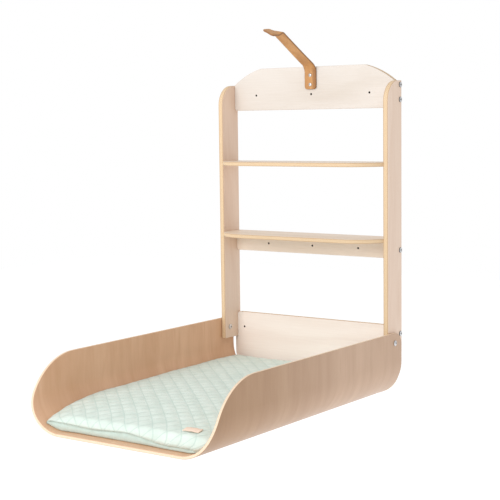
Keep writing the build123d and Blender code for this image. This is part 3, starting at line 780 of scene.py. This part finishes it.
# A line has a length in mm. A turn has a radius in mm and an angle in degrees.
STRAP_RUNS = (("line", 47.5), ("turn", 30.0, 61.0), ("line", 174.0), ("turn", 12.0, 34.0), ("line", 46.0))
STRAP_STATION = 4                                # mm of line, or degrees of turn, from station to station
STRAP_HALF_WIDTH = 20 * MM
STRAP_HALF_THICK = 2.5 * MM
STRAP_END_R = 8 * MM
TIP_LENGTH = 54 * MM
TIP_ROLL, TIP_ROLL_LENGTH = 25, 22 * MM          # twist of the free end, in degrees
SLACK_ROLL, SLACK_START, SLACK_LENGTH = 3.0, 90 * MM, 120 * MM
CUP, CUP_START, CUP_LENGTH = 0.9 * MM, 70 * MM, 60 * MM
ARRIS_THICK = 0.86                               # share of the half thickness left at a rounded edge
ARRIS_IN, ARRIS_NEAR_IN = 0.9 * MM, 0.25 * MM
CUT_BAND = 1.2 * MM                              # how far burnishing goes in from the sides
CUT_BAND_SHARE = 0.8
END_BAND = 0.4 * MM                              # and from the ends
END_STATIONS = 8                                 # more stations where the ends are rounded
FACE_STEPS = 4                                   # columns in each half of the strap's face


def strap_line():
    """Points of the strap's centre line as (y, z) with their heading, close together, from foot to tip."""
    y, z, heading = STRAP_FOOT
    line = [STRAP_FOOT]
    for run in STRAP_RUNS:
        if run[0] == "line":
            steps = max(2, int(run[1] / STRAP_STATION))
            for _ in range(steps):
                y += math.cos(math.radians(heading)) * run[1] * MM / steps
                z += math.sin(math.radians(heading)) * run[1] * MM / steps
                line.append((y, z, heading))
        else:
            steps = max(6, int(run[2] / STRAP_STATION))
            for _ in range(steps):
                half = run[2] / steps / 2
                heading += half
                chord = 2 * run[1] * MM * math.sin(math.radians(half))
                y += math.cos(math.radians(heading)) * chord
                z += math.sin(math.radians(heading)) * chord
                heading += half
                line.append((y, z, heading))
    return np.array(line)


def strap_section():
    """Round the strap: place across, side of the thickness, inset from the width, share of the cut edge."""
    section = []
    for up in (1.0, -1.0):
        for k in range(2 * FACE_STEPS + 1):
            over = up * (-1 + k / FACE_STEPS)
            thick, inset = (ARRIS_THICK, ARRIS_IN) if abs(over) == 1.0 else (1.0, 0.0)
            section.append((over, up * thick, inset, 0.0))
        for level, inset in ((0.6, ARRIS_NEAR_IN), (0.0, 0.0), (-0.6, ARRIS_NEAR_IN)):
            section.append((up, level * up, inset, 1.0))
    return section


def ramp(value, start, length):
    return np.clip((value - start) / length, 0, 1)


def strap():
    line = strap_line()
    travel = np.concatenate([[0], np.cumsum(np.hypot(*np.diff(line[:, :2], axis=0).T))])
    total = travel[-1]
    extra = [STRAP_END_R * (1 - math.cos(a * math.pi / 2 / END_STATIONS)) for a in range(END_STATIONS)]
    stations = sorted(set(np.round(np.concatenate([travel, extra, total - np.array(extra)]), 6)))
    stations = [s for s in stations if 0 <= s <= total]
    section = strap_section()
    points, spots = [], []
    for s in stations:
        y, z = np.interp(s, travel, line[:, 0]), np.interp(s, travel, line[:, 1])
        heading = math.radians(np.interp(s, travel, line[:, 2]))
        forward = np.array([0, math.cos(heading), math.sin(heading)])
        inner = -np.array([0, math.sin(heading), -math.cos(heading)])
        from_end = min(s, total - s)
        half = STRAP_HALF_WIDTH
        if from_end < STRAP_END_R:
            half -= STRAP_END_R - math.sqrt(max(STRAP_END_R**2 - (STRAP_END_R - from_end) ** 2, 0))
        roll = math.radians(TIP_ROLL) * ramp(s, total - TIP_LENGTH, TIP_ROLL_LENGTH)
        roll = roll + math.radians(SLACK_ROLL) * ramp(s, SLACK_START, SLACK_LENGTH)
        turn = Matrix.Rotation(-roll, 3, Vector(forward))
        side, face = np.array(turn @ Vector((1, 0, 0))), np.array(turn @ Vector(inner))
        at_end = 1.0 if from_end < END_BAND else 0.0
        for over, up, inset, edge in section:
            cup = CUP * (over**2) * ramp(s, CUP_START, CUP_LENGTH)
            out = side * over * (half - inset)
            points.append(np.array([0, y, z]) + out + face * (up * STRAP_HALF_THICK + cup))
            near_side = np.clip(1 - (half - abs(over) * half) / CUT_BAND, 0, 1)
            spots.append((s, over * half, max(edge, at_end, float(near_side) * CUT_BAND_SHARE)))
    faces = tube_faces(len(section), len(stations), turned=True)
    made = piece("strap", points, faces, leather("tan_leather"))
    store(made, "strap", spots)
    return made


leather_strap = strap()
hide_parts("strap_base", "strap_tail")
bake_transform(leather_strap)


# ---------------------------------------------------------------- stage, light and camera
FLOOR_Z, FLOOR_HALF = -1.75, 9.0
FLOOR_WHITE = (0.82, 0.82, 0.82), (0.79, 0.79, 0.79)
FLOOR_GLOW = 0.42
SOFT_LIGHT = 0.76
KEY_AT, KEY_AIM = (-0.6, -3.6, 1.2), (0, -0.3, -0.5)
KEY_SIDE, KEY_POWER = 2.2, 74
CAMERA_AT = (2.08921, -3.24019, -0.08575)
CAMERA_TURNS = (35.704, -5.816, -0.730)          # yaw, pitch and roll in degrees
LENS, SENSOR = 92.1888, 36                       # mm
LENS_SHIFT = (-0.00152, 0.0085)


def stage_floor():
    g = Graph("studio_white")
    cloud = g.noise(g.scaled(*g.place, *FLOOR_CLOUD), 3.0)
    material = g.finish(g.mix(cloud, *FLOOR_WHITE), 0.9,
                        Emission_Color=(1.0, 1.0, 1.0, 1.0), Emission_Strength=FLOOR_GLOW)
    corners = [(x * FLOOR_HALF, y * FLOOR_HALF, FLOOR_Z) for x, y in ((-1, -1), (1, -1), (1, 1), (-1, 1))]
    made = piece("floor", corners, [(0, 1, 2, 3)], material, smooth=False)


def world_light():
    """Soft light from all round. What shows behind the object is plain white."""
    world = bpy.data.worlds.new("studio")
    world.use_nodes = True
    tree = world.node_tree
    soft = tree.nodes["Background"]
    white = tree.nodes.new("ShaderNodeBackground")
    mix = tree.nodes.new("ShaderNodeMixShader")
    seen = tree.nodes.new("ShaderNodeLightPath")
    for node, level in ((soft, SOFT_LIGHT), (white, 1.0)):
        node.inputs["Color"].default_value = (1.0, 1.0, 1.0, 1.0)
        node.inputs["Strength"].default_value = level
    tree.links.new(seen.outputs["Is Camera Ray"], mix.inputs[0])
    tree.links.new(soft.outputs[0], mix.inputs[1])
    tree.links.new(white.outputs[0], mix.inputs[2])
    tree.links.new(mix.outputs[0], tree.nodes["World Output"].inputs["Surface"])
    bpy.context.scene.world = world


def key_light():
    data = bpy.data.lights.new("key", "AREA")
    data.shape = "RECTANGLE"
    data.size = data.size_y = KEY_SIDE
    data.energy = KEY_POWER
    made = bpy.data.objects.new("key", data)
    made.location = KEY_AT
    made.rotation_euler = (Vector(KEY_AIM) - Vector(KEY_AT)).to_track_quat("-Z", "Y").to_euler()
    bpy.context.scene.collection.objects.link(made)


def camera():
    yaw, pitch, roll = (math.radians(turn) for turn in CAMERA_TURNS)
    look = Vector((-math.sin(yaw) * math.cos(pitch), math.cos(yaw) * math.cos(pitch), math.sin(pitch)))
    right = Vector((math.cos(yaw), math.sin(yaw), 0))
    up = right.cross(look)
    side = math.cos(roll) * right + math.sin(roll) * up
    top = -math.sin(roll) * right + math.cos(roll) * up
    data = bpy.data.cameras.new("camera")
    data.sensor_width = SENSOR
    data.lens = LENS
    data.shift_x, data.shift_y = LENS_SHIFT
    made = bpy.data.objects.new("camera", data)
    made.matrix_world = Matrix.Translation(CAMERA_AT) @ Matrix((side, top, -look)).transposed().to_4x4()
    bpy.context.scene.collection.objects.link(made)
    bpy.context.scene.camera = made


stage_floor()
world_light()
key_light()
camera()
bpy.context.scene.view_settings.view_transform = "Standard"
